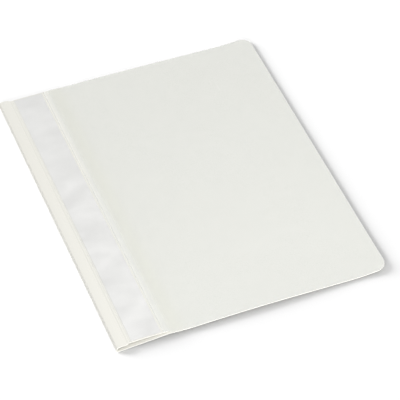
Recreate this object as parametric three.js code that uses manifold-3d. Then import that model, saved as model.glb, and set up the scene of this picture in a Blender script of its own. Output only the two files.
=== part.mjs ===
// A4 presentation folder lying closed: a folded back sheet with a spine and a label panel,
// a clear front cover hinged beside the panel, a label pocket, and a two-prong paper fastener inside.
// Millimetres, +Z up. X runs from the spine to the fore edge, Y along the spine.
// The origin is the middle of the footprint, on the surface that the folder lies on.
import * as THREE from "three";
import { mergeVertices } from "three/addons/utils/BufferGeometryUtils.js";
import Module from "manifold-3d";

const wasm = await Module();
wasm.setup();

// Closed folder, seen from above.
const folderWidth = 240;
const folderLength = 310;
const cornerRadius = 10;

// Back sheet: the rear cover, the spine and the label panel in one piece of film.
const sheetThickness = 0.5;
const spineHeight = 5.2;
const spineLean = 1.1;
const spineBulge = 0.35;
const foldTangent = 0.9;
const creaseDistance = 10;
const creaseHalfWidth = 1.1;
const creaseDepth = 0.4;
const panelArch = 0.8;
const panelGap = 0.7;
const hingeDistance = 45;
const hingeRise = 3.5;
const humpRun = 19;
const humpFall = 1.0;
const coverArch = 3.2;
const restMargin = 26;

// Clear front cover.
const coverThickness = 0.3;
const hingeGap = 0.3;

// Label pocket on the panel.
const pocketStart = 12.3;
const pocketWidth = 28.8;
const pocketWeld = 0.9;
const pocketRamp = 0.5;
const pocketEndInset = 1;
const windowThickness = 0.15;
const labelThickness = 0.15;
const labelSideGap = 0.2;
const labelEndInset = 2;

// Paper fastener on the rear cover, under the label panel.
const prongSpacing = 80;
const prongWidth = 5;
const prongLength = 36;
const prongBend = 0.55;
const fastenerDistance = 17;
const stripWidth = 8;
const stripLength = 112;
const metalThickness = 0.3;
const strapWidth = 28;
const strapLength = 180;
const strapThickness = 0.3;
const strapRamp = 1.5;
const slotClearance = 0.5;
const barWidth = 10;
const barLength = 104;
const barThickness = 0.6;
const barHoleClearance = 0.6;

// Gaps between pieces that lie on each other.
const filmGap = 0.1;
const lapGap = 0.25;
const stackGap = 0.2;

const halfSheet = sheetThickness / 2;
const curveSteps = 14;
const shortestStep = 0.05;

// Solids

function toManifold(geometry) {
  const bare = geometry.clone();
  bare.deleteAttribute("normal");
  bare.deleteAttribute("uv");
  const merged = mergeVertices(bare, 1e-4);
  return new wasm.Manifold(new wasm.Mesh({
    numProp: 3,
    vertProperties: Float32Array.from(merged.attributes.position.array),
    triVerts: Uint32Array.from(merged.index.array),
  }));
}

function toGeometry(manifold) {
  const mesh = manifold.getMesh();
  const geometry = new THREE.BufferGeometry();
  geometry.setAttribute("position", new THREE.BufferAttribute(mesh.vertProperties, 3));
  geometry.setIndex(new THREE.BufferAttribute(mesh.triVerts, 1));
  geometry.computeVertexNormals();
  return geometry;
}

// A section drawn in X and Z, extruded along Y about the middle of the folder's length.
function sectionAlongY(points, length) {
  const geometry = new THREE.ExtrudeGeometry(new THREE.Shape(points), {
    depth: length,
    bevelEnabled: false,
  });
  geometry.rotateX(Math.PI / 2);
  geometry.translate(0, length / 2, 0);
  return geometry;
}

function box(sizeX, sizeY, sizeZ, x, y, z) {
  const geometry = new THREE.BoxGeometry(sizeX, sizeY, sizeZ);
  geometry.translate(x, y, z);
  return geometry;
}

// Sections of film

// Direction across a polyline at one of its points, to the left of travel.
function leftNormal(points, index) {
  const before = points[Math.max(index - 1, 0)];
  const after = points[Math.min(index + 1, points.length - 1)];
  const along = after.clone().sub(before).normalize();
  return new THREE.Vector2(-along.y, along.x);
}

// The polyline moved sideways; the distance may change from point to point.
function offsetLine(points, distanceAt) {
  return points.map((point, index) =>
    point.clone().addScaledVector(leftNormal(points, index), distanceAt(point, index)));
}

// The closed section of a film between two offsets of one polyline.
function filmSection(points, lowAt, highAt) {
  return [...offsetLine(points, lowAt), ...offsetLine(points, highAt).reverse()];
}

// The point of a polyline at a given distance from the spine, where the line advances steadily.
function pointAt(points, x) {
  for (let i = 1; i < points.length; i += 1) {
    const a = points[i - 1];
    const b = points[i];
    if ((a.x - x) * (b.x - x) <= 0 && a.x !== b.x) {
      return a.clone().lerp(b, (x - a.x) / (b.x - a.x));
    }
  }
  throw new Error(`no point at ${x}`);
}

// Part of a polyline between two distances from the spine, in the order of travel.
function stretchOf(points, from, to) {
  const low = Math.min(from, to) + shortestStep;
  const high = Math.max(from, to) - shortestStep;
  const inside = points.filter((point) => point.x > low && point.x < high);
  return [pointAt(points, from), ...inside, pointAt(points, to)];
}

// A point a given distance along the way from one point to another.
function towards(from, to, distance) {
  return from.clone().add(to.clone().sub(from).setLength(distance));
}

// Middle line of the rear cover, from the fore edge to the hinge line. X here counts from the spine.
// It lies flat along the fore edge, arches up gently and rises to a hump at the hinge line.
function rearCoverLine() {
  const rest = new THREE.Vector2(folderWidth - restMargin, halfSheet);
  const hump = new THREE.Vector2(hingeDistance, halfSheet + hingeRise);
  const foot = new THREE.Vector2(hingeDistance + humpRun, hump.y - humpFall);
  const run = rest.x - foot.x;
  const line = new THREE.Path();
  line.moveTo(folderWidth, halfSheet);
  line.lineTo(rest.x, rest.y);
  line.bezierCurveTo(
    rest.x - 0.16 * run, rest.y,
    foot.x + 0.37 * run, halfSheet + coverArch,
    foot.x, foot.y,
  );
  line.bezierCurveTo(
    foot.x - 0.4 * humpRun, foot.y - 0.08 * humpFall,
    hump.x + 0.25 * humpRun, hump.y,
    hump.x, hump.y,
  );
  return line.getPoints(curveSteps);
}

// Corners of the folded stretch, on the middle line.
const rearFold = new THREE.Vector2(halfSheet, halfSheet);
const spineTop = new THREE.Vector2(spineLean, spineHeight - halfSheet);
const humpPoint = new THREE.Vector2(hingeDistance, halfSheet + hingeRise);
const panelEnd = new THREE.Vector2(
  hingeDistance - hingeGap,
  humpPoint.y + sheetThickness + panelGap,
);

// Middle line from the hinge line back to the spine fold, up the spine, over the spine strip,
// through the crease and along the label panel to its free edge at the hinge line.
function foldedLine() {
  const creaseBottom = spineTop.y - creaseDepth;
  const stripEnd = new THREE.Vector2(creaseDistance - creaseHalfWidth, spineTop.y);
  const panelStart = new THREE.Vector2(
    creaseDistance + creaseHalfWidth,
    (spineTop.y + panelEnd.y) / 2,
  );
  const foldIn = towards(rearFold, humpPoint, foldTangent);
  const foldOut = towards(rearFold, spineTop, foldTangent);
  const topIn = towards(spineTop, rearFold, foldTangent);
  const topOut = towards(spineTop, stripEnd, foldTangent);
  const line = new THREE.Path();
  line.moveTo(humpPoint.x, humpPoint.y);
  line.lineTo(foldIn.x, foldIn.y);
  line.quadraticCurveTo(rearFold.x, rearFold.y, foldOut.x, foldOut.y);
  line.lineTo(topIn.x, topIn.y);
  line.quadraticCurveTo(spineTop.x, spineTop.y, topOut.x, topOut.y);
  line.quadraticCurveTo((topOut.x + stripEnd.x) / 2, spineTop.y + 2 * spineBulge, stripEnd.x, stripEnd.y);
  line.quadraticCurveTo(creaseDistance, 2 * creaseBottom - spineTop.y, panelStart.x, panelStart.y);
  line.quadraticCurveTo(
    (panelStart.x + panelEnd.x) / 2, (panelStart.y + panelEnd.y) / 2 + panelArch,
    panelEnd.x, panelEnd.y,
  );
  return line.getPoints(curveSteps);
}

const rearLine = rearCoverLine();
const foldLine = foldedLine();
const panelLine = foldLine.filter((point, index) =>
  point.x >= creaseDistance + creaseHalfWidth && point.y > humpPoint.y && index > foldLine.length / 2);

// Outline seen from above: square at the spine, rounded at the fore edge.
function outlinePrism() {
  const halfLength = folderLength / 2;
  const shape = new THREE.Shape();
  shape.moveTo(0, -halfLength);
  shape.lineTo(folderWidth - cornerRadius, -halfLength);
  shape.absarc(folderWidth - cornerRadius, -halfLength + cornerRadius, cornerRadius, -Math.PI / 2, 0);
  shape.lineTo(folderWidth, halfLength - cornerRadius);
  shape.absarc(folderWidth - cornerRadius, halfLength - cornerRadius, cornerRadius, 0, Math.PI / 2);
  shape.lineTo(0, halfLength);
  const geometry = new THREE.ExtrudeGeometry(shape, {
    depth: 4 * spineHeight,
    bevelEnabled: false,
    curveSegments: 10,
  });
  geometry.translate(0, 0, -spineHeight);
  return toManifold(geometry);
}

const outline = outlinePrism();

function backCoverGeometry() {
  const line = [...rearLine, ...foldLine.slice(1)];
  const section = filmSection(line, () => halfSheet, () => -halfSheet);
  return toGeometry(toManifold(sectionAlongY(section, folderLength)).intersect(outline));
}

// The cover follows the rear cover below it and starts just past the hinge line.
function frontCoverGeometry() {
  const line = stretchOf(rearLine, folderWidth, hingeDistance + hingeGap);
  const under = -(halfSheet + lapGap);
  const section = filmSection(line, () => under, () => under - coverThickness);
  return toGeometry(toManifold(sectionAlongY(section, folderLength)).intersect(outline));
}

// Label pocket

const pocketEnd = pocketStart + pocketWidth;
const windowRise = filmGap + labelThickness + filmGap;

// Height of the window film over the panel's top: welded at both sides, lifted over the label between.
function windowLift(x) {
  const fromSide = Math.min(x - pocketStart, pocketEnd - x) - pocketWeld;
  const share = THREE.MathUtils.clamp(fromSide / pocketRamp, 0, 1);
  return THREE.MathUtils.lerp(filmGap / 2, windowRise, share);
}

function labelWindowGeometry() {
  const bends = [
    pocketStart, pocketStart + pocketWeld, pocketStart + pocketWeld + pocketRamp,
    pocketEnd - pocketWeld - pocketRamp, pocketEnd - pocketWeld, pocketEnd,
  ];
  const between = stretchOf(panelLine, bends[2], bends[3]).slice(1, -1);
  const line = [
    ...bends.slice(0, 3).map((x) => pointAt(panelLine, x)),
    ...between,
    ...bends.slice(3).map((x) => pointAt(panelLine, x)),
  ];
  const lowAt = (point) => halfSheet + windowLift(point.x);
  const section = filmSection(line, (point) => lowAt(point) + windowThickness, lowAt);
  return sectionAlongY(section, folderLength - 2 * pocketEndInset);
}

function labelInsertGeometry() {
  const side = pocketWeld + pocketRamp + labelSideGap;
  const line = stretchOf(panelLine, pocketStart + side, pocketEnd - side);
  const under = halfSheet + filmGap;
  const section = filmSection(line, () => under + labelThickness, () => under);
  return sectionAlongY(section, folderLength - 2 * labelEndInset);
}

// Paper fastener, drawn flat: X across the fastener, Y along it, Z up from the rear cover's inner face.

const stripBottom = stackGap;
const strapBottom = stripBottom + metalThickness + stackGap;
const barBottom = strapBottom + strapThickness + stackGap;
const prongBottom = barBottom + barThickness + stackGap;
const halfMetal = metalThickness / 2;

// One prong from its root in the strip, up through strap and bar, and folded in over the bar.
function prongGeometry(side) {
  const rootY = prongSpacing / 2;
  const low = stripBottom + halfMetal;
  const high = prongBottom + halfMetal;
  const line = new THREE.Path();
  line.moveTo(rootY + prongWidth, low);
  line.lineTo(rootY + prongBend, low);
  line.quadraticCurveTo(rootY, low, rootY, low + prongBend);
  line.lineTo(rootY, high - prongBend);
  line.quadraticCurveTo(rootY, high, rootY - prongBend, high);
  line.lineTo(rootY - prongLength, high);
  const section = filmSection(line.getPoints(5), () => halfMetal, () => -halfMetal);
  const geometry = new THREE.ExtrudeGeometry(new THREE.Shape(section), {
    depth: prongWidth,
    bevelEnabled: false,
  });
  // Section X becomes Y and section Y becomes Z, so the extrusion runs across the fastener.
  geometry.applyMatrix4(new THREE.Matrix4().makeBasis(
    new THREE.Vector3(0, 1, 0), new THREE.Vector3(0, 0, 1), new THREE.Vector3(1, 0, 0),
  ));
  geometry.translate(-prongWidth / 2, 0, 0);
  if (side < 0) {
    geometry.rotateZ(Math.PI);
  }
  return geometry;
}

function prongStripGeometry() {
  const strip = box(stripWidth, stripLength, metalThickness, 0, 0, stripBottom + halfMetal);
  const solid = toManifold(strip)
    .add(toManifold(prongGeometry(1)))
    .add(toManifold(prongGeometry(-1)));
  return toGeometry(solid);
}

// The strap is welded down along both sides and lifts over the metal strip between them.
function filingStrapGeometry() {
  const half = strapWidth / 2;
  const tunnel = stripWidth / 2 + stackGap;
  const line = [
    new THREE.Vector2(-half, filmGap),
    new THREE.Vector2(-tunnel - strapRamp, filmGap),
    new THREE.Vector2(-tunnel, strapBottom),
    new THREE.Vector2(tunnel, strapBottom),
    new THREE.Vector2(tunnel + strapRamp, filmGap),
    new THREE.Vector2(half, filmGap),
  ];
  const raised = line.map((point) => new THREE.Vector2(point.x, point.y + strapThickness));
  const strap = toManifold(sectionAlongY([...line, ...raised.reverse()], strapLength));
  const slotHeight = 2 * (strapBottom + strapThickness);
  const slots = [1, -1].map((side) => toManifold(box(
    prongWidth + 2 * slotClearance, metalThickness + 2 * slotClearance, slotHeight,
    0, side * prongSpacing / 2, slotHeight / 2,
  )));
  return toGeometry(strap.subtract(slots[0]).subtract(slots[1]));
}

// A bar with round ends and a hole over each prong.
function coverBarGeometry() {
  const half = barWidth / 2;
  const endY = barLength / 2 - half;
  const shape = new THREE.Shape();
  shape.moveTo(half, -endY);
  shape.lineTo(half, endY);
  shape.absarc(0, endY, half, 0, Math.PI);
  shape.lineTo(-half, -endY);
  shape.absarc(0, -endY, half, Math.PI, 2 * Math.PI);
  for (const side of [1, -1]) {
    const holeX = prongWidth / 2 + barHoleClearance;
    const holeY = metalThickness / 2 + barHoleClearance;
    const y = side * prongSpacing / 2;
    shape.holes.push(new THREE.Path([
      new THREE.Vector2(-holeX, y - holeY),
      new THREE.Vector2(-holeX, y + holeY),
      new THREE.Vector2(holeX, y + holeY),
      new THREE.Vector2(holeX, y - holeY),
    ]));
  }
  const geometry = new THREE.ExtrudeGeometry(shape, {
    depth: barThickness,
    bevelEnabled: false,
    curveSegments: 8,
  });
  geometry.translate(0, 0, barBottom);
  return geometry;
}

// Finishes

function finish(color, roughness, metalness = 0, opacity = 1) {
  return new THREE.MeshStandardMaterial({
    color, roughness, metalness, opacity, transparent: opacity < 1,
  });
}

const whiteFilm = finish(0xf1f0e6, 0.42);
const clearCoverFilm = finish(0xe6eae2, 0.25, 0, 0.4);
const clearWindowFilm = finish(0xeef0ec, 0.18, 0, 0.3);
const plainPaper = finish(0xf3f3f1, 0.9);
const strapFilm = finish(0xecebe1, 0.5);
const tinplate = finish(0xc9ccd0, 0.3, 1);
const barPlastic = finish(0xe9e9e6, 0.4);

function piece(name, geometry, material) {
  const mesh = new THREE.Mesh(geometry, material);
  mesh.name = name;
  return mesh;
}

// The fastener's own frame stands on the sloping inner face of the rear cover.
function fastenerFrame() {
  const slope = humpPoint.clone().sub(rearFold);
  const angle = Math.atan2(slope.y, slope.x);
  const foot = rearFold.clone().addScaledVector(slope, fastenerDistance / slope.length());
  const frame = new THREE.Group();
  frame.position.set(
    foot.x - halfSheet * Math.sin(angle),
    0,
    foot.y + halfSheet * Math.cos(angle),
  );
  frame.rotation.y = -angle;
  frame.add(
    piece("prong_strip", prongStripGeometry(), tinplate),
    piece("filing_strap", filingStrapGeometry(), strapFilm),
    piece("cover_bar", coverBarGeometry(), barPlastic),
  );
  return frame;
}

const folder = new THREE.Group();
folder.add(
  piece("back_cover", backCoverGeometry(), whiteFilm),
  piece("front_cover", frontCoverGeometry(), clearCoverFilm),
  piece("label_window", labelWindowGeometry(), clearWindowFilm),
  piece("label_insert", labelInsertGeometry(), plainPaper),
  fastenerFrame(),
);
folder.position.x = -folderWidth / 2;

const model = new THREE.Group();
model.add(folder);

export default model;
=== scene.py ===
"""Looks of a closed A4 presentation folder: white film, clear cover, label pocket and fastener."""

import math

import bmesh
import bpy
import numpy as np
from mathutils import Matrix, Vector


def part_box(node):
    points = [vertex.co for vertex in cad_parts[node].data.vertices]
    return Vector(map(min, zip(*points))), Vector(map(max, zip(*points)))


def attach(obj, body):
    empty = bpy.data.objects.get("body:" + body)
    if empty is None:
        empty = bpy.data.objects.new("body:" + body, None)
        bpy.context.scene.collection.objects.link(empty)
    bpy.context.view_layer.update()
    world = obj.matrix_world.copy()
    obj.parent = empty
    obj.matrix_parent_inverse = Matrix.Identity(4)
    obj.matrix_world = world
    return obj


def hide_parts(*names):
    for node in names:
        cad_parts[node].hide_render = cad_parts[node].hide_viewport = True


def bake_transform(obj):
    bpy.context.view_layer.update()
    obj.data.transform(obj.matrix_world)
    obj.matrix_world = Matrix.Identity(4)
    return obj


bl_info = {
    "name": "Presentation Folder",
    "version": (1, 0, 0),
    "blender": (4, 5, 0),
    "location": "3D View > Sidebar > Folder",
    "description": "Builds the films, label, fastener and studio of an A4 presentation folder",
    "category": "Add Mesh",
}

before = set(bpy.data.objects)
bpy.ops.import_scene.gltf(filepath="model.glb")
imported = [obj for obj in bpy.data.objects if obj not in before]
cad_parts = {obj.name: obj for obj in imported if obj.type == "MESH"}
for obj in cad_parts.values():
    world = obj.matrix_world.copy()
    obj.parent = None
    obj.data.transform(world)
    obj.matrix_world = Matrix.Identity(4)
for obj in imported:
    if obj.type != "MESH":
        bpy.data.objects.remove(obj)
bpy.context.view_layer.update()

BACK_BODY = "back_sheet"

SHEET_LOW, SHEET_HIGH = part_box("back_cover")
FOLDER_LENGTH = SHEET_HIGH.y - SHEET_LOW.y
FORE_EDGE_X = SHEET_HIGH.x

# Shares of the curves' lengths, as in the part's own sections.
ARCH_REST_SHARE = 0.16
ARCH_FOOT_SHARE = 0.37
HUMP_FOOT_SHARE = 0.4
HUMP_FOOT_DROP = 0.08
HUMP_TOP_SHARE = 0.25

# Steps along each stretch of the sections.
CORNER_STEPS = 18
REST_STEPS = 5
ARCH_STEPS = 50
HUMP_STEPS = 20
INNER_STEPS = 22
FOLD_STEPS = 10
WALL_STEPS = 5
STRIP_STEPS = 14
STEPS_TO_CREASE = INNER_STEPS + 2 * FOLD_STEPS + WALL_STEPS + STRIP_STEPS
SHEET_PANEL_STEPS = 36
COVER_PANEL_STEPS = 60
COVER_STEP_STEPS = 40
POCKET_STEPS = 120

# Rows of each film along the spine.
SHEET_ROWS = 110
WINDOW_ROWS = 260
LABEL_ROWS = 120

# The rim of a film: its last row's distance from the edge, and its bulge as a share of thickness.
RIM_SUPPORT = 0.0002
RIM_BULGE = 0.3

# Rear sheet: steps before and after the crease over which the panel gets shorter.
EASE_BEFORE = 8
EASE_AFTER = 16

# How the films lie. Distances in metres, and places along the spine as shares of its length.
SETTLE_FROM = -0.3
SETTLE_TO = 0.5
PRESS_START = 0.005
PRESS_FULL = 0.001
PRESS_NEAR_RUN = 0.02
PRESS_FAR_RUN = 0.01
PRESS_FAR_LOSS = 0.5
WAVE_HEIGHT = 0.00022
WAVE_RUN = 0.05
CURL_RUN = 0.034
NEAR_CURL_RUN = 0.055
NEAR_CURL_FROM = 0.015
NEAR_CURL_TO = 0.105

# Front cover at its hinge: the step down from the panel, the pressed crease and the bend's reach.
COVER_STEP_RUN = 0.0045
CREASE_DEPTH = 0.00012
CREASE_OFFSET = 0.0022
CREASE_WIDTH = 0.0005

# Its weld on the panel's margin, and painted shade past the hinge: a warmer, less clear tint that
# darkens the valley there.
WELD_OFFSET = 0.0024
WELD_REACH = 0.0025
HINGE_SHADE_SHARE = 0.5
HINGE_SHADE_OFFSET = 0.0075
HINGE_SHADE_REACH = 0.0078
HINGE_SHADE_ALPHA = 0.18
HINGE_SHADE_TINT = (0.98, 0.965, 0.895)

# Label window: height of its ripples, and the groove that the weld leaves.
RIPPLE = 0.00005
RIPPLE_EASE = 0.004
WELD_DEPTH = 0.00004

# Studio: places and sizes of the lights, and the floor.
KEY_PLACE = (0.3, -1.65, 1.95)
KEY_SIZE = 1.3
FLOOR_LIGHT_PLACE = (-9.0, 7.3, 3.9)
FLOOR_LIGHT_SIZE = 7.0
FLOOR_FILL_PLACE = (-7.5, -8.5, 3.9)
FLOOR_FILL_SIZE = 5.0
FLOOR_HALF = 12.0
FLOOR_DROP = 0.00005


# Sizes, colours and studio that a user would change

def length(label, text, value):
    """A distance in metres, with its name and description."""
    return bpy.props.FloatProperty(
        name=label, description=text, default=value, subtype="DISTANCE", unit="LENGTH", precision=5)


def share(label, text, value):
    """A share from 0 to 1."""
    return bpy.props.FloatProperty(name=label, description=text, default=value, min=0, max=1)


def power(label, text, value):
    """A light's power in watts."""
    return bpy.props.FloatProperty(name=label, description=text, default=value, subtype="POWER")


def angle(label, text, degrees):
    """An angle, given in degrees."""
    return bpy.props.FloatProperty(
        name=label, description=text, default=math.radians(degrees),
        subtype="ANGLE", unit="ROTATION")


def colour(label, text, value):
    """A linear colour."""
    return bpy.props.FloatVectorProperty(
        name=label, description=text, default=value, subtype="COLOR", size=3, min=0, max=1)


class FolderSizes(bpy.types.PropertyGroup):
    """Sizes of the folder's films, in metres."""

    width: length("Width", "Spine fold to fore edge", 2 * FORE_EDGE_X)
    length: length("Length", "Along the spine", FOLDER_LENGTH)
    corner_radius: length("Corner radius", "The two corners at the fore edge", 0.010)
    sheet: length("Back sheet", "Thickness of the white film", 0.0005)
    spine_height: length("Spine height", "Outside height at the spine", 0.0052)
    spine_lean: length("Spine lean", "How far the spine leans in at its top", 0.0011)
    spine_bulge: length("Spine bulge", "Rise of the spine strip at its middle", 0.00035)
    fold_tangent: length("Fold tangent", "Length of film that each spine fold takes up", 0.0009)
    crease_distance: length("Spine crease", "Spine fold to the crease beside the panel", 0.010)
    crease_half_width: length("Crease half width", "Half the width of that crease", 0.0011)
    crease_depth: length("Crease depth", "How deep that crease is", 0.0004)
    panel_arch: length("Panel arch", "How much the label panel bows up", 0.0008)
    panel_gap: length("Panel gap", "Rear cover to the label panel's free edge", 0.0007)
    hinge_distance: length("Hinge line", "Spine fold to the cover's hinge line", 0.045)
    hinge_rise: length("Hinge rise", "Underside of the rear cover at the hinge line", 0.0035)
    hump_run: length("Hump run", "From the hinge line down to the cover's arch", 0.019)
    hump_fall: length("Hump fall", "Drop of the rear cover over that run", 0.001)
    cover_arch: length("Cover arch", "How much the rear cover bows up", 0.0032)
    rest_margin: length("Rest margin", "Flat stretch along the fore edge", 0.026)
    cover: length("Front cover", "Thickness of the clear cover", 0.0003)
    hinge_gap: length("Hinge gap", "Panel edge to the hinge line", 0.0003)
    lap_gap: length("Lap gap", "Rear cover to the front cover above it", 0.00025)
    far_settle: share("Far settle", "Share of its height that the folder loses at its far end", 0.2)
    panel_inset: length("Panel inset", "How much shorter the panel is at each end", 0.0016)
    edge_press: length("Edge press", "How far the panel's free edge is pressed down", 0.0006)
    fore_curl: length("Fore curl", "How much the films curl up at the fore edge", 0.0023)
    near_curl: length("Near curl", "How much the films curl up at the near end", 0.0013)
    pocket_start: length("Pocket start", "Spine fold to the label window", 0.0123)
    pocket_width: length("Pocket width", "Width of the label window", 0.0288)
    pocket_weld: length("Pocket weld", "Width of each welded side", 0.0009)
    pocket_ramp: length("Pocket ramp", "From weld to the lifted window", 0.0005)
    pocket_end_inset: length("Window inset", "Folder's end to the window's end", 0.0019)
    window: length("Window", "Thickness of the window film", 0.00015)
    label: length("Label", "Thickness of the paper label", 0.00015)
    label_side_gap: length("Label side gap", "Pocket side to paper", 0.0002)
    label_end_inset: length("Label inset", "Folder's end to the paper's end", 0.0027)
    film_gap: length("Film gap", "Air between films that lie on each other", 0.0001)


class FolderColours(bpy.types.PropertyGroup):
    """Linear colours of the folder's materials."""

    white_film: colour("White film", "Back sheet", (0.785, 0.780, 0.728))
    white_film_warm: colour("White film, warm", "Drift of its colour", (0.790, 0.775, 0.714))
    clear_film: colour("Clear cover", "Milky tint of the front cover", (0.925, 0.94, 0.924))
    clear_haze: share("Clear cover haze", "How much of the tint covers what lies under it", 0.28)
    window_film: colour("Label window", "Tint of the window film", (0.92, 0.925, 0.915))
    window_haze: share("Label window haze", "How much of the tint covers the label", 0.10)
    paper: colour("Label paper", "Plain label", (0.806, 0.803, 0.790))
    strap_film: colour("Filing strap", "Film strap inside", (0.74, 0.73, 0.66))
    tinplate: colour("Tinplate", "Prong strip", (0.62, 0.63, 0.64))
    bar_plastic: colour("Cover bar", "Moulded bar", (0.78, 0.78, 0.76))
    floor: colour("Floor", "Plain pale floor", (0.88, 0.88, 0.88))


class FolderStudio(bpy.types.PropertyGroup):
    """Camera and lights."""

    azimuth: angle("Azimuth", "Camera's turn about the folder", -20.5)
    elevation: angle("Elevation", "Camera's height angle", 45.9)
    roll: angle("Roll", "Camera's turn about its own line of sight", -1.1)
    distance: length("Distance", "Camera to the point that it looks at", 1.925)
    target_x: length("Target X", "Point on the floor at the middle of the picture", 0.0046)
    target_y: length("Target Y", "Point on the floor at the middle of the picture", -0.0207)
    lens: bpy.props.FloatProperty(
        name="Lens", description="Focal length on a 36 mm sensor", default=202.15,
        subtype="DISTANCE_CAMERA")
    room_light: bpy.props.FloatProperty(
        name="Room light", description="Strength of the even light from all sides", default=0.67)
    key_power: power("Key power", "Broad light from the near side, on the folder alone", 42.0)
    floor_power: power("Floor power", "Soft light from the far left, on the floor alone", 2100.0)
    fill_power: power("Fill power", "Soft light from the near left, on the floor alone", 470.0)


# Curves of the sections. X counts from the spine fold, and Z from the surface that the folder lies on.

def bezier(points, steps):
    """Points along a Bezier curve of any degree, its start left out."""
    found = []
    for k in range(1, steps + 1):
        t = k / steps
        level = [Vector(p) for p in points]
        while len(level) > 1:
            level = [a.lerp(b, t) for a, b in zip(level, level[1:])]
        found.append(level[0])
    return found


def straight(a, b, steps):
    """Points along a straight stretch, its start left out."""
    return bezier([a, b], steps)


def towards(a, b, distance):
    """The point a given distance along the way from a to b."""
    way = Vector(b) - Vector(a)
    return Vector(a) + way.normalized() * distance


def hump_point(s):
    """Top of the hump at the hinge line, on the sheet's middle."""
    return Vector((s.hinge_distance, s.sheet / 2 + s.hinge_rise))


def panel_end(s):
    """Free edge of the label panel, on the sheet's middle."""
    return Vector((s.hinge_distance - s.hinge_gap, hump_point(s).y + s.sheet + s.panel_gap))


def corner_columns(s, steps):
    """Distances from the spine, even along a rounded corner's arc, fore edge first."""
    start = s.width - s.corner_radius
    return [start + s.corner_radius * math.sin(math.pi / 2 * k / steps) for k in range(steps, -1, -1)]


def rear_line(s):
    """Middle of the rear cover, from the fore edge to the hump at the hinge line."""
    mid = s.sheet / 2
    rest = Vector((s.width - s.rest_margin, mid))
    hump = hump_point(s)
    foot = Vector((s.hinge_distance + s.hump_run, hump.y - s.hump_fall))
    run = rest.x - foot.x
    line = [Vector((x, mid)) for x in corner_columns(s, CORNER_STEPS)]
    line += straight(line[-1], rest, REST_STEPS)
    line += bezier([
        rest, (rest.x - ARCH_REST_SHARE * run, rest.y),
        (foot.x + ARCH_FOOT_SHARE * run, mid + s.cover_arch), foot], ARCH_STEPS)
    line += bezier([
        foot, (foot.x - HUMP_FOOT_SHARE * s.hump_run, foot.y - HUMP_FOOT_DROP * s.hump_fall),
        (hump.x + HUMP_TOP_SHARE * s.hump_run, hump.y), hump], HUMP_STEPS)
    return line


def spine_corners(s):
    """Rear fold and top of the spine, on the sheet's middle."""
    mid = s.sheet / 2
    return Vector((mid, mid)), Vector((s.spine_lean, s.spine_height - mid))


def panel_line(s, steps):
    """Middle of the label panel, from the crease to its free edge."""
    _, top = spine_corners(s)
    end = panel_end(s)
    start = Vector((s.crease_distance + s.crease_half_width, (top.y + end.y) / 2))
    arch = (start + end) / 2 + Vector((0, s.panel_arch))
    return [start] + bezier([start, arch, end], steps)


def folded_line(s):
    """Middle of the sheet from the hump to the spine, over it and along the label panel."""
    rear, top = spine_corners(s)
    hump = hump_point(s)
    strip_end = Vector((s.crease_distance - s.crease_half_width, top.y))
    panel = panel_line(s, SHEET_PANEL_STEPS)
    fold_in = towards(rear, hump, s.fold_tangent)
    fold_out = towards(rear, top, s.fold_tangent)
    top_in = towards(top, rear, s.fold_tangent)
    top_out = towards(top, strip_end, s.fold_tangent)
    strip_top = Vector(((top_out.x + strip_end.x) / 2, top.y + 2 * s.spine_bulge))
    crease = Vector((s.crease_distance, top.y - 2 * s.crease_depth))
    line = straight(hump, fold_in, INNER_STEPS)
    line += bezier([fold_in, rear, fold_out], FOLD_STEPS)
    line += straight(fold_out, top_in, WALL_STEPS)
    line += bezier([top_in, top, top_out], FOLD_STEPS)
    line += bezier([top_out, strip_top, strip_end], STRIP_STEPS)
    line += bezier([strip_end, crease, panel[0]], STRIP_STEPS)
    return line + panel[1:]


def cover_line(s):
    """Middle of the clear cover: on the panel's margin, over its edge, and along the rear cover."""
    panel = panel_line(s, COVER_PANEL_STEPS)
    on_panel = s.sheet / 2 + s.film_gap / 2 + s.cover / 2
    on_rear = s.sheet / 2 + s.lap_gap + s.cover / 2
    start_x = s.pocket_start + s.pocket_width + s.film_gap
    margin = [Vector((p.x, p.y + on_panel)) for p in panel if p.x > start_x]
    rear = [Vector((p.x, p.y + on_rear)) for p in rear_line(s)]
    landing_x = s.hinge_distance + COVER_STEP_RUN
    open_part = [p for p in rear if p.x > landing_x]
    edge = margin[-1]
    landing = open_part[-1]
    step = bezier([
        edge, (edge.x + COVER_STEP_RUN / 2, edge.y),
        (landing.x - COVER_STEP_RUN / 2, landing.y), landing], COVER_STEP_STEPS)
    return open_part + list(reversed(step[:-1])) + list(reversed(margin))


# How the films lie. X counts from the spine fold and Y along the spine from its middle, in metres.

def smooth(a, b, x):
    """Smooth step from 0 at a to 1 at b."""
    t = np.clip((x - a) / (b - a), 0, 1)
    return t * t * (3 - 2 * t)


def settle(s, y, z):
    """How much lower a point of the films lies towards the far end."""
    along = smooth(SETTLE_FROM * s.length, SETTLE_TO * s.length, y)
    return s.far_settle * along * (z - s.sheet / 2)


def edge_press(s, x, y):
    """How far the panel's free edge, and the cover welded to it, are pressed down."""
    half = s.length / 2
    across = smooth(s.hinge_distance - PRESS_START, s.hinge_distance - PRESS_FULL, x)
    past = 1 - smooth(s.hinge_distance, s.hinge_distance + COVER_STEP_RUN, x)
    near = smooth(-half, PRESS_NEAR_RUN - half, y)
    far = 1 - PRESS_FAR_LOSS * smooth(half - PRESS_FAR_RUN, half, y)
    return s.edge_press * across * past * near * far


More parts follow.
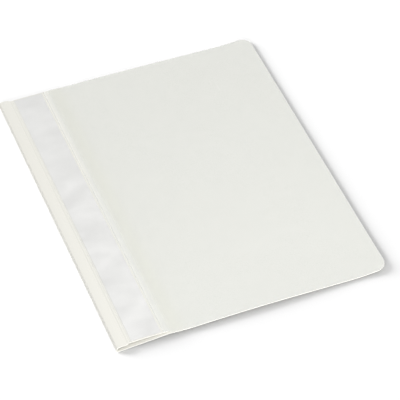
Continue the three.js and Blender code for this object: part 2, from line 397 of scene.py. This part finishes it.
def sheet_waves(s, x, y):
    """Slow waves that a film of this size keeps, and its curls at the fore edge and the near end."""
    ease = smooth(s.hinge_distance, s.hinge_distance + WAVE_RUN, x)
    ease = ease * (1 - smooth(s.width - WAVE_RUN, s.width, x))
    wave = (
        0.6 * np.sin(21 * x + 13 * y + 0.4) * np.cos(17 * y - 9 * x)
        + 0.4 * np.sin(34 * y + 1.1) * np.sin(27 * x + 0.7))
    curl = s.fore_curl * np.clip((x - (s.width - CURL_RUN)) / CURL_RUN, 0, 1) ** 2
    near = np.clip((NEAR_CURL_RUN - s.length / 2 - y) / NEAR_CURL_RUN, 0, 1) ** 2
    past = smooth(s.hinge_distance + NEAR_CURL_FROM, s.hinge_distance + NEAR_CURL_TO, x)
    curl = curl + s.near_curl * near * past
    return WAVE_HEIGHT * ease * (1 + wave) / 2 + curl


# Meshes

def film_mesh(s, name, line, half_length, thickness, rows, lift, fold=None):
    """A film of even thickness whose middle follows line in X and Z, with a rounded rim.

    half_length gives half the film's length at each point of the line and distance from the spine,
    rows the number of rows along it, lift how far each point moves out from the fold's inside, and
    fold the painted shade there above 0, and the weld below 0.
    """
    xz = np.array([[p[0], p[1]] for p in line])
    along = np.gradient(xz, axis=0)
    along /= np.linalg.norm(along, axis=1)[:, None]
    out = np.stack([-along[:, 1], along[:, 0]], 1)
    half = np.array([half_length(k, x) for k, x in enumerate(xz[:, 0])])
    support = min(thickness / 2, RIM_SUPPORT)
    v = np.linspace(-1, 1, rows)
    y = np.concatenate([-half[:, None], v[None, :] * (half[:, None] - support), half[:, None]], 1)
    x = np.repeat(xz[:, :1], y.shape[1], 1)
    move = lift(x, y)
    count, across = y.shape
    centre = np.stack([x, y, np.repeat(xz[:, 1:], across, 1)], 2)
    normal = np.zeros_like(centre)
    normal[:, :, 0] = out[:, None, 0]
    normal[:, :, 2] = out[:, None, 1]
    centre += normal * move[:, :, None]
    centre[:, :, 2] -= settle(s, y, centre[:, :, 2])
    upper = centre + normal * thickness / 2
    lower = centre - normal * thickness / 2
    ring = [(i, 0) for i in range(count)] + [(count - 1, j) for j in range(1, across)]
    ring += [(i, across - 1) for i in range(count - 2, -1, -1)]
    ring += [(0, j) for j in range(across - 2, 0, -1)]
    rim = []
    for i, j in ring:
        push = Vector((0, 0, 0))
        if j == 0:
            push.y -= 1
        if j == across - 1:
            push.y += 1
        if i == 0:
            push += Vector((-along[0, 0], 0, -along[0, 1]))
        if i == count - 1:
            push += Vector((along[-1, 0], 0, along[-1, 1]))
        rim.append(centre[i, j] + np.array(push.normalized()) * thickness * RIM_BULGE)
    verts = np.concatenate([upper.reshape(-1, 3), lower.reshape(-1, 3), np.array(rim)])
    verts[:, 0] -= FORE_EDGE_X
    grid = np.arange(count * across).reshape(count, across)
    low = grid + count * across
    faces = []
    for i in range(count - 1):
        for j in range(across - 1):
            faces.append((grid[i, j], grid[i + 1, j], grid[i + 1, j + 1], grid[i, j + 1]))
            faces.append((low[i, j], low[i, j + 1], low[i + 1, j + 1], low[i + 1, j]))
    first_rim = 2 * count * across
    for k, (a, b) in enumerate(zip(ring, ring[1:] + ring[:1])):
        ra, rb = first_rim + k, first_rim + (k + 1) % len(ring)
        faces.append((grid[b], grid[a], ra, rb))
        faces.append((rb, ra, low[a], low[b]))
    mesh = bpy.data.meshes.new(name)
    mesh.from_pydata([tuple(p) for p in verts], [], [tuple(int(i) for i in f) for f in faces])
    mesh.update()
    on_edge = np.zeros(len(verts), np.float32)
    on_edge[first_rim:] = 1
    add_attribute(mesh, "film_edge", on_edge)
    # Painted shade past the hinge above 0, and the weld below 0, for the material to read.
    shade_and_weld_values = np.zeros(len(verts), np.float32)
    if fold:
        shade_and_weld_values[:first_rim] = np.tile(fold(x).ravel(), 2)
    add_attribute(mesh, "hinge_shade_and_weld", shade_and_weld_values)
    mesh.shade_smooth()
    obj = bpy.data.objects.new(name, mesh)
    bpy.context.scene.collection.objects.link(obj)
    return face_outwards(obj)


def add_attribute(mesh, name, values):
    """A number for each point of a mesh, which materials read by its name."""
    mesh.attributes.new(name, "FLOAT", "POINT").data.foreach_set("value", values)


def face_outwards(obj):
    """Turns the faces of a closed mesh outwards."""
    work = bmesh.new()
    work.from_mesh(obj.data)
    bmesh.ops.recalc_face_normals(work, faces=work.faces)
    work.to_mesh(obj.data)
    work.free()
    return obj


def rounded_half_length(s, inset):
    """Half a film's length along its line, with round corners at the fore edge, less its inset."""
    def half(k, x):
        past = max(0.0, x - (s.width - s.corner_radius))
        drop = s.corner_radius - math.sqrt(max(0.0, s.corner_radius ** 2 - past ** 2))
        return s.length / 2 - drop - inset(k, x)
    return half


def stretch(line, start, end):
    """The part of a line between two distances from the spine, ends included."""
    def at(x):
        for a, b in zip(line, line[1:]):
            if a.x <= x <= b.x:
                return a.lerp(b, (x - a.x) / (b.x - a.x))
        raise ValueError(f"the line has no point at {x}")
    return [at(start)] + [p for p in line if start + 1e-5 < p.x < end - 1e-5] + [at(end)]


# Shader node groups that several materials share

def group(name, inputs, outputs):
    """A shader node group with named sockets; returns the tree and its two end nodes."""
    tree = bpy.data.node_groups.new(name, "ShaderNodeTree")
    for label, kind, value in inputs:
        socket = tree.interface.new_socket(label, in_out="INPUT", socket_type=kind)
        if value is not None:
            socket.default_value = value
    for label, kind in outputs:
        tree.interface.new_socket(label, in_out="OUTPUT", socket_type=kind)
    return tree, tree.nodes.new("NodeGroupInput"), tree.nodes.new("NodeGroupOutput")


def maths(tree, operation, a, b=None, c=None):
    """A Math node; each operand is a socket or a number."""
    node = tree.nodes.new("ShaderNodeMath")
    node.operation = operation
    for socket, value in zip(node.inputs, (a, b, c)):
        if value is None:
            continue
        if isinstance(value, (int, float)):
            socket.default_value = value
        else:
            tree.links.new(value, socket)
    return node.outputs[0]


def noise(tree, scale, detail=2.0, roughness=0.5, stretch_by=(1, 1, 1), distortion=0.0):
    """Noise over the object's own coordinates, in metres, stretched along the axes."""
    place = tree.nodes.new("ShaderNodeTexCoord")
    mapping = tree.nodes.new("ShaderNodeMapping")
    mapping.inputs["Scale"].default_value = stretch_by
    tree.links.new(place.outputs["Object"], mapping.inputs["Vector"])
    node = tree.nodes.new("ShaderNodeTexNoise")
    node.inputs["Detail"].default_value = detail
    node.inputs["Roughness"].default_value = roughness
    node.inputs["Distortion"].default_value = distortion
    tree.links.new(mapping.outputs["Vector"], node.inputs["Vector"])
    if isinstance(scale, (int, float)):
        node.inputs["Scale"].default_value = scale
    else:
        tree.links.new(scale, node.inputs["Scale"])
    return node.outputs["Fac"]


def film_grain_group():
    """Fine embossed grain of calendered film, with the soft flow lines of the roll."""
    tree, start, end = group(
        "Film Grain",
        [("Grain Scale", "NodeSocketFloat", 2600.0), ("Flow", "NodeSocketFloat", 0.35)],
        [("Height", "NodeSocketFloat"), ("Roughness Shift", "NodeSocketFloat")])
    grain = noise(tree, start.outputs["Grain Scale"], 3.0, 0.6)
    flow = noise(tree, 60.0, 2.0, 0.5, (1, 0.12, 1))
    height = maths(tree, "MULTIPLY_ADD", flow, start.outputs["Flow"], grain)
    tree.links.new(height, end.inputs["Height"])
    shift = maths(tree, "MULTIPLY", maths(tree, "SUBTRACT", grain, 0.5), 0.12)
    tree.links.new(shift, end.inputs["Roughness Shift"])
    return tree


def handling_group():
    """Faint smudges and hairline scratches from handling, as masks from 0 to 1."""
    tree, start, end = group(
        "Handling Marks",
        [("Amount", "NodeSocketFloat", 1.0)],
        [("Smudges", "NodeSocketFloat"), ("Hairlines", "NodeSocketFloat")])
    cloud = noise(tree, 14.0, 4.0, 0.62, (1, 1, 1), 0.4)
    smudge = maths(tree, "MULTIPLY", maths(tree, "SUBTRACT", cloud, 0.45), 2.2)
    smudge = maths(tree, "MULTIPLY", limit(tree, smudge), start.outputs["Amount"])
    tree.links.new(smudge, end.inputs["Smudges"])
    fine = noise(tree, 300.0, 1.0, 0.5, (1, 0.02, 1), 0.8)
    line = maths(tree, "MULTIPLY", maths(tree, "SUBTRACT", fine, 0.8), 30.0)
    line = maths(tree, "MULTIPLY", limit(tree, line), start.outputs["Amount"])
    tree.links.new(line, end.inputs["Hairlines"])
    return tree


def paper_fibre_group():
    """Fibres and cloudy formation of plain paper."""
    tree, start, end = group(
        "Paper Fibre",
        [("Fibre Scale", "NodeSocketFloat", 900.0)],
        [("Height", "NodeSocketFloat"), ("Cloud", "NodeSocketFloat")])
    along = noise(tree, start.outputs["Fibre Scale"], 3.0, 0.6, (1, 0.3, 1), 0.6)
    over = noise(tree, start.outputs["Fibre Scale"], 3.0, 0.6, (0.3, 1, 1), 0.6)
    tree.links.new(maths(tree, "ADD", along, over), end.inputs["Height"])
    tree.links.new(noise(tree, 90.0, 3.0, 0.6), end.inputs["Cloud"])
    return tree


def material_base(name):
    """A new material with its Principled shader."""
    material = bpy.data.materials.new(name)
    material.use_nodes = True
    return material, material.node_tree, material.node_tree.nodes["Principled BSDF"]


def place_group(tree, name, **values):
    """One of the shared groups, with its own values; underscores in names stand for spaces."""
    node = tree.nodes.new("ShaderNodeGroup")
    node.node_tree = bpy.data.node_groups[name]
    for label, value in values.items():
        node.inputs[label.replace("_", " ")].default_value = value
    return node


def mix_colours(tree, share, a, b):
    """Colour a where share is 0 and b where it is 1; colours are sockets or values."""
    node = tree.nodes.new("ShaderNodeMix")
    node.data_type = "RGBA"
    tree.links.new(share, node.inputs["Factor"])
    for socket, value in ((node.inputs[6], a), (node.inputs[7], b)):
        if isinstance(value, bpy.types.NodeSocket):
            tree.links.new(value, socket)
        else:
            socket.default_value = (*value, 1)
    return node.outputs[2]


def bump(tree, shader, height, distance):
    """Feeds the shader's Normal from a height; distance is the real depth in metres."""
    node = tree.nodes.new("ShaderNodeBump")
    node.inputs["Distance"].default_value = distance
    node.inputs["Strength"].default_value = 1.0
    tree.links.new(height, node.inputs["Height"])
    tree.links.new(node.outputs["Normal"], shader.inputs["Normal"])


def attribute(tree, name):
    """A number that the mesh holds for each of its points."""
    node = tree.nodes.new("ShaderNodeAttribute")
    node.attribute_name = name
    return node.outputs["Fac"]


def limit(tree, value):
    """A value kept between 0 and 1."""
    return maths(tree, "MINIMUM", maths(tree, "MAXIMUM", value, 0.0), 1.0)


def darker(value, factor):
    """A colour made darker by one factor."""
    return tuple(factor * c for c in value)


def painted_rim_light(tree, shader, tint):
    """Painted light on the film's cut rim: an emission that makes it glow like light the film guides
    there, though it is no lamp.
    """
    painted_glow = mix_colours(tree, attribute(tree, "film_edge"), (0, 0, 0), tint)
    tree.links.new(painted_glow, shader.inputs["Emission Color"])
    shader.inputs["Emission Strength"].default_value = 1.0


def lighter(value, share=0.5):
    """A colour moved towards white."""
    return tuple(c + (1 - c) * share for c in value)


def white_film_material(c):
    """Opaque white film of the back sheet: satin, faint grain, slow warm drift, and a painted
    highlight on its cut edges, which are lighter and glow.
    """
    material, tree, shader = material_base("white_film")
    grain = place_group(tree, "Film Grain", Grain_Scale=2400.0, Flow=0.3)
    marks = place_group(tree, "Handling Marks", Amount=0.8)
    drift = noise(tree, 9.0, 2.0, 0.5)
    body = mix_colours(tree, drift, c.white_film, c.white_film_warm)
    # Painted highlight: the cut rim is made lighter than the film.
    body = mix_colours(tree, attribute(tree, "film_edge"), body, lighter(c.white_film))
    tree.links.new(body, shader.inputs["Base Color"])
    rough = maths(tree, "ADD", 0.40, grain.outputs["Roughness Shift"])
    rough = maths(tree, "MULTIPLY_ADD", marks.outputs["Smudges"], 0.06, rough)
    rough = maths(tree, "MULTIPLY_ADD", marks.outputs["Hairlines"], 0.1, rough)
    tree.links.new(rough, shader.inputs["Roughness"])
    bump(tree, shader, grain.outputs["Height"], 0.000012)
    # Painted light: the cut rim glows, though it is no lamp.
    painted_rim_light(tree, shader, (0.66, 0.66, 0.63))
    shader.inputs["IOR"].default_value = 1.5
    return material


def clear_film_material(name, tint, haze, roughness, grain_scale, painted_glow):
    """Clear film: a thin milk-white tint that shows what lies under it, with gloss and a painted
    highlight on its cut edges, which are lighter, more opaque and glow.

    Past the hinge it carries painted shade, a warmer and more opaque tint; it is whiter where it is
    welded.
    """
    material, tree, shader = material_base(name)
    grain = place_group(tree, "Film Grain", Grain_Scale=grain_scale, Flow=0.8)
    marks = place_group(tree, "Handling Marks", Amount=1.0)
    edge = attribute(tree, "film_edge")
    # The mesh's painted shade past the hinge (above 0) and its weld (below 0).
    fold = attribute(tree, "hinge_shade_and_weld")
    hinge_shade = maths(tree, "MAXIMUM", fold, 0.0)
    welded = maths(tree, "MAXIMUM", maths(tree, "MULTIPLY", fold, -1.0), 0.0)
    # Painted shade past the hinge: a warmer, darker tint.
    body = mix_colours(tree, hinge_shade, tint, tuple(v * w for v, w in zip(tint, HINGE_SHADE_TINT)))
    body = mix_colours(tree, welded, body, lighter(tint))
    # Painted highlight: the cut rim gets a lighter tint.
    tree.links.new(mix_colours(tree, edge, body, lighter(tint, 0.7)), shader.inputs["Base Color"])
    rough = maths(tree, "ADD", roughness, grain.outputs["Roughness Shift"])
    rough = maths(tree, "MULTIPLY_ADD", marks.outputs["Smudges"], 0.06, rough)
    tree.links.new(rough, shader.inputs["Roughness"])
    # The cut rim is more opaque, which carries that painted highlight.
    alpha = maths(tree, "MULTIPLY_ADD", edge, 0.5, haze)
    # Painted shade past the hinge: more haze, which darkens it further.
    alpha = maths(tree, "MULTIPLY_ADD", hinge_shade, HINGE_SHADE_ALPHA, alpha)
    alpha = maths(tree, "MULTIPLY_ADD", marks.outputs["Smudges"], 0.008, alpha)
    alpha = maths(tree, "MULTIPLY_ADD", marks.outputs["Hairlines"], 0.03, alpha)
    tree.links.new(alpha, shader.inputs["Alpha"])
    bump(tree, shader, grain.outputs["Height"], 0.00001)
    # Painted light: the cut rim glows, though it is no lamp.
    painted_rim_light(tree, shader, (painted_glow, painted_glow, painted_glow))
    shader.inputs["IOR"].default_value = 1.5
    return material


def paper_material(c):
    """Plain label paper, uneven where it touches the window film and where it doesn't, with painted
    shade that darkens it towards the far end.
    """
    material, tree, shader = material_base("label_paper")
    fibre = place_group(tree, "Paper Fibre", Fibre_Scale=1100.0)
    touch = noise(tree, 55.0, 3.0, 0.55, (0.5, 1, 1), 0.3)
    place = tree.nodes.new("ShaderNodeTexCoord")
    split = tree.nodes.new("ShaderNodeSeparateXYZ")
    tree.links.new(place.outputs["Object"], split.inputs["Vector"])
    # Painted shade: the paper darkens towards the far end (+Y), added to the uneven touch.
    pressed = maths(tree, "MULTIPLY_ADD", split.outputs["Y"], -0.3, touch)
    contact_and_far_shade = maths(tree, "MULTIPLY", maths(tree, "SUBTRACT", pressed, 0.35), 2.8)
    body = mix_colours(tree, limit(tree, contact_and_far_shade), darker(c.paper, 0.86), c.paper)
    cloud = maths(tree, "MULTIPLY", fibre.outputs["Cloud"], 0.25)
    body = mix_colours(tree, cloud, body, darker(c.paper, 0.95))
    tree.links.new(body, shader.inputs["Base Color"])
    shader.inputs["Roughness"].default_value = 0.85
    bump(tree, shader, fibre.outputs["Height"], 0.00002)
    return material


def metal_material(c):
    """Rolled tinplate with fine lines along the strip."""
    material, tree, shader = material_base("tinplate")
    lines = noise(tree, 1800.0, 3.0, 0.6, (1, 0.04, 1))
    marks = place_group(tree, "Handling Marks", Amount=1.0)
    body = mix_colours(tree, lines, c.tinplate, darker(c.tinplate, 0.88))
    tree.links.new(body, shader.inputs["Base Color"])
    shader.inputs["Metallic"].default_value = 1.0
    rough = maths(tree, "MULTIPLY_ADD", lines, 0.14, 0.2)
    rough = maths(tree, "MULTIPLY_ADD", marks.outputs["Smudges"], 0.12, rough)
    tree.links.new(rough, shader.inputs["Roughness"])
    bump(tree, shader, lines, 0.000006)
    return material


def plastic_material(name, tint, roughness):
    """Satin plastic with a fine moulded grain."""
    material, tree, shader = material_base(name)
    grain = place_group(tree, "Film Grain", Grain_Scale=1800.0, Flow=0.15)
    marks = place_group(tree, "Handling Marks", Amount=0.7)
    drift = noise(tree, 25.0, 2.0, 0.5)
    body = mix_colours(tree, drift, tint, darker(tint, 0.96))
    tree.links.new(body, shader.inputs["Base Color"])
    rough = maths(tree, "ADD", roughness, grain.outputs["Roughness Shift"])
    rough = maths(tree, "MULTIPLY_ADD", marks.outputs["Smudges"], 0.08, rough)
    tree.links.new(rough, shader.inputs["Roughness"])
    bump(tree, shader, grain.outputs["Height"], 0.000015)
    return material


def floor_material(c):
    """Plain pale matt floor."""
    material, tree, shader = material_base("studio_floor")
    tone = noise(tree, 3.0, 2.0, 0.5)
    body = mix_colours(tree, tone, c.floor, darker(c.floor, 0.995))
    tree.links.new(body, shader.inputs["Base Color"])
    shader.inputs["Roughness"].default_value = 0.9
    shader.inputs["Specular IOR Level"].default_value = 0.1
    return material


def dress(obj, material):
    """Gives a piece its material."""
    obj.data.materials.clear()
    obj.data.materials.append(material)
    return obj


# Operators

class FOLDER_OT_shared_finishes(bpy.types.Operator):
    """Makes the shader node groups that several materials share"""

    bl_idname = "folder.shared_finishes"
    bl_label = "Shared finishes"

    def execute(self, context):
        film_grain_group()
        handling_group()
        paper_fibre_group()
        return {"FINISHED"}


class FOLDER_OT_back_sheet(bpy.types.Operator):
    """Models the folded white sheet: rear cover, spine strip and label panel"""

    bl_idname = "folder.back_sheet"
    bl_label = "Back sheet"

    def execute(self, context):
        s = context.scene.folder_sizes
        line = rear_line(s) + folded_line(s)
        turn = len(rear_line(s)) + STEPS_TO_CREASE - 1

        def lift(x, y):
            top = (np.arange(len(line)) > turn)[:, None]
            return np.where(top, -edge_press(s, x, y), -sheet_waves(s, x, y))

        def inset(k, x):
            return s.panel_inset * float(smooth(turn - EASE_BEFORE, turn + EASE_AFTER, k))

        half = rounded_half_length(s, inset)
        sheet = film_mesh(s, "back_sheet_film", line, half, s.sheet, SHEET_ROWS, lift)
        dress(sheet, white_film_material(context.scene.folder_colours))
        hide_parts("back_cover")
        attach(sheet, BACK_BODY)
        return {"FINISHED"}


class FOLDER_OT_front_cover(bpy.types.Operator):
    """Models the clear front cover, which bends at the hinge line"""

    bl_idname = "folder.front_cover"
    bl_label = "Front cover"

    def execute(self, context):
        s = context.scene.folder_sizes
        c = context.scene.folder_colours

        def bell(x, offset, reach):
            return np.exp(-((x - s.hinge_distance - offset) / reach) ** 2)

        def lift(x, y):
            crease = CREASE_DEPTH * bell(x, CREASE_OFFSET, CREASE_WIDTH)
            return crease + edge_press(s, x, y) - sheet_waves(s, x, y)

        def inset(k, x):
            past = smooth(s.hinge_distance, s.hinge_distance + COVER_STEP_RUN, x)
            return s.panel_inset * float(1 - past)

        # Painted shade past the hinge (above 0) and the weld (below 0).
        def fold(x):
            hinge_shade = HINGE_SHADE_SHARE * bell(x, HINGE_SHADE_OFFSET, HINGE_SHADE_REACH)
            return hinge_shade - bell(x, -WELD_OFFSET, WELD_REACH)

        half = rounded_half_length(s, inset)
        film = film_mesh(s, "front_cover_film", cover_line(s), half, s.cover, SHEET_ROWS, lift, fold)
        material = clear_film_material(
            "clear_cover_film", tuple(c.clear_film), c.clear_haze,
            roughness=0.28, grain_scale=1700.0, painted_glow=0.22)
        dress(film, material)
        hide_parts("front_cover")
        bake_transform(film)
        return {"FINISHED"}


class FOLDER_OT_label_pocket(bpy.types.Operator):
    """Models the window film and the paper label under it"""

    bl_idname = "folder.label_pocket"
    bl_label = "Label pocket"

    def execute(self, context):
        s = context.scene.folder_sizes
        c = context.scene.folder_colours
        panel = panel_line(s, POCKET_STEPS)
        end_x = s.pocket_start + s.pocket_width
        base = s.sheet / 2

        def window_lift(x, y):
            inside = np.minimum(x - s.pocket_start, end_x - x) - s.pocket_weld
            raised = smooth(0, s.pocket_ramp, inside)
            low = s.film_gap / 2
            high = 2 * s.film_gap + s.label
            wave = np.sin(330 * y + 60 * x) + 0.7 * np.sin(197 * y - 90 * x + 1.3)
            ripple = RIPPLE * raised * smooth(0, RIPPLE_EASE, inside) * wave / 2
            groove = (inside + 0.45 * s.pocket_weld) / (0.3 * s.pocket_weld)
            weld = WELD_DEPTH * np.exp(-groove ** 2)
            height = base + s.window / 2 + low + (high - low) * raised
            return height + ripple - weld - edge_press(s, x, y)

        def paper_lift(x, y):
            return base + s.film_gap + s.label / 2 - edge_press(s, x, y)

        window = film_mesh(
            s, "label_window_film", stretch(panel, s.pocket_start, end_x),
            lambda k, x: s.length / 2 - s.pocket_end_inset, s.window, WINDOW_ROWS, window_lift)
        material = clear_film_material(
            "clear_window_film", tuple(c.window_film), c.window_haze,
            roughness=0.22, grain_scale=1500.0, painted_glow=0.02)
        dress(window, material)
        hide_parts("label_window")
        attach(window, BACK_BODY)

        side = s.pocket_weld + s.pocket_ramp + s.label_side_gap
        label = film_mesh(
            s, "label_paper_strip", stretch(panel, s.pocket_start + side, end_x - side),
            lambda k, x: s.length / 2 - s.label_end_inset, s.label, LABEL_ROWS, paper_lift)
        dress(label, paper_material(c))
        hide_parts("label_insert")
        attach(label, BACK_BODY)
        return {"FINISHED"}


class FOLDER_OT_fastener(bpy.types.Operator):
    """Finishes the filing strap, the prong strip and the cover bar"""

    bl_idname = "folder.fastener"
    bl_label = "Paper fastener"

    def execute(self, context):
        c = context.scene.folder_colours
        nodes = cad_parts
        strap = plastic_material("strap_film", tuple(c.strap_film), roughness=0.42)
        bar = plastic_material("bar_plastic", tuple(c.bar_plastic), roughness=0.38)
        dress(nodes["filing_strap"], strap)
        dress(nodes["prong_strip"], metal_material(c))
        dress(nodes["cover_bar"], bar)
        return {"FINISHED"}


class FOLDER_OT_stage(bpy.types.Operator):
    """Sets the floor, the soft lights and the camera"""

    bl_idname = "folder.stage"
    bl_label = "Studio"

    def execute(self, context):
        studio = context.scene.folder_studio
        floor = add_floor(context.scene.folder_colours)
        add_room_light(studio.room_light)
        key_light = add_area_light("key_light", KEY_PLACE, KEY_SIZE, studio.key_power)
        floor_light = add_area_light(
            "floor_light", FLOOR_LIGHT_PLACE, FLOOR_LIGHT_SIZE, studio.floor_power)
        floor_fill = add_area_light("floor_fill", FLOOR_FILL_PLACE, FLOOR_FILL_SIZE, studio.fill_power)
        light_only(floor_light, floor, "INCLUDE")
        light_only(floor_fill, floor, "INCLUDE")
        light_only(key_light, floor, "EXCLUDE")
        add_camera(studio)
        context.scene.view_settings.view_transform = "Standard"
        return {"FINISHED"}


def add_floor(c):
    """A wide floor on which the folder lies."""
    half = FLOOR_HALF
    corners = [(-half, -half, 0), (half, -half, 0), (half, half, 0), (-half, half, 0)]
    mesh = bpy.data.meshes.new("studio_floor")
    mesh.from_pydata(corners, [], [(0, 1, 2, 3)])
    floor = bpy.data.objects.new("studio_floor", mesh)
    floor.location.z = -FLOOR_DROP
    bpy.context.scene.collection.objects.link(floor)
    mesh.materials.append(floor_material(c))
    return floor


def add_room_light(strength):
    """Even white light from all sides."""
    world = bpy.data.worlds.new("studio_room")
    world.use_nodes = True
    background = world.node_tree.nodes["Background"]
    background.inputs["Color"].default_value = (1, 1, 1, 1)
    background.inputs["Strength"].default_value = strength
    bpy.context.scene.world = world


def add_area_light(name, place, size, power):
    """A square soft light that faces the folder."""
    light = bpy.data.lights.new(name, "AREA")
    light.shape = "SQUARE"
    light.size = size
    light.energy = power
    lamp = bpy.data.objects.new(name, light)
    lamp.location = place
    lamp.rotation_euler = (-Vector(place)).to_track_quat("-Z", "Y").to_euler()
    bpy.context.scene.collection.objects.link(lamp)
    return lamp


def light_only(lamp, obj, state):
    """Links a light to one object: it lights only that, or with state EXCLUDE everything else."""
    lit = bpy.data.collections.new(lamp.name + "_receivers")
    lit.objects.link(obj)
    lit.collection_objects[0].light_linking.link_state = state
    lamp.light_linking.receiver_collection = lit


def add_camera(studio):
    """The photograph's viewpoint."""
    a, e = studio.azimuth, studio.elevation
    back = Vector((math.sin(a) * math.cos(e), -math.cos(a) * math.cos(e), math.sin(e)))
    level = Vector((math.cos(a), math.sin(a), 0))
    up = back.cross(level)
    right = level * math.cos(studio.roll) + up * math.sin(studio.roll)
    up = back.cross(right)
    target = Vector((studio.target_x, studio.target_y, 0))
    data = bpy.data.cameras.new("camera")
    data.sensor_width = 36
    data.lens = studio.lens
    data.clip_start = 0.05
    data.clip_end = 60
    camera = bpy.data.objects.new("camera", data)
    turn = Matrix((right, up, back)).transposed()
    camera.matrix_world = Matrix.Translation(target + back * studio.distance) @ turn.to_4x4()
    bpy.context.scene.collection.objects.link(camera)
    bpy.context.scene.camera = camera


class FOLDER_PT_panel(bpy.types.Panel):
    """Lists the folder's steps"""

    bl_idname = "FOLDER_PT_panel"
    bl_label = "Presentation Folder"
    bl_space_type = "VIEW_3D"
    bl_region_type = "UI"
    bl_category = "Folder"

    def draw(self, context):
        """One button for each step."""
        for step in STEPS:
            self.layout.operator(step.bl_idname)


STEPS = (
    FOLDER_OT_shared_finishes,
    FOLDER_OT_back_sheet,
    FOLDER_OT_front_cover,
    FOLDER_OT_label_pocket,
    FOLDER_OT_fastener,
    FOLDER_OT_stage,
)
GROUPS = (FolderSizes, FolderColours, FolderStudio)


def register():
    """Registers the groups, the operators and the panel."""
    for item in (*GROUPS, *STEPS, FOLDER_PT_panel):
        bpy.utils.register_class(item)
    bpy.types.Scene.folder_sizes = bpy.props.PointerProperty(type=FolderSizes)
    bpy.types.Scene.folder_colours = bpy.props.PointerProperty(type=FolderColours)
    bpy.types.Scene.folder_studio = bpy.props.PointerProperty(type=FolderStudio)


def unregister():
    """Takes them out again."""
    del bpy.types.Scene.folder_studio
    del bpy.types.Scene.folder_colours
    del bpy.types.Scene.folder_sizes
    for item in reversed((*GROUPS, *STEPS, FOLDER_PT_panel)):
        bpy.utils.unregister_class(item)


def main():
    """Builds the folder and its studio, step by step."""
    register()
    bpy.ops.folder.shared_finishes()
    bpy.ops.folder.back_sheet()
    bpy.ops.folder.front_cover()
    bpy.ops.folder.label_pocket()
    bpy.ops.folder.fastener()
    bpy.ops.folder.stage()


if __name__ == "__main__":
    main()
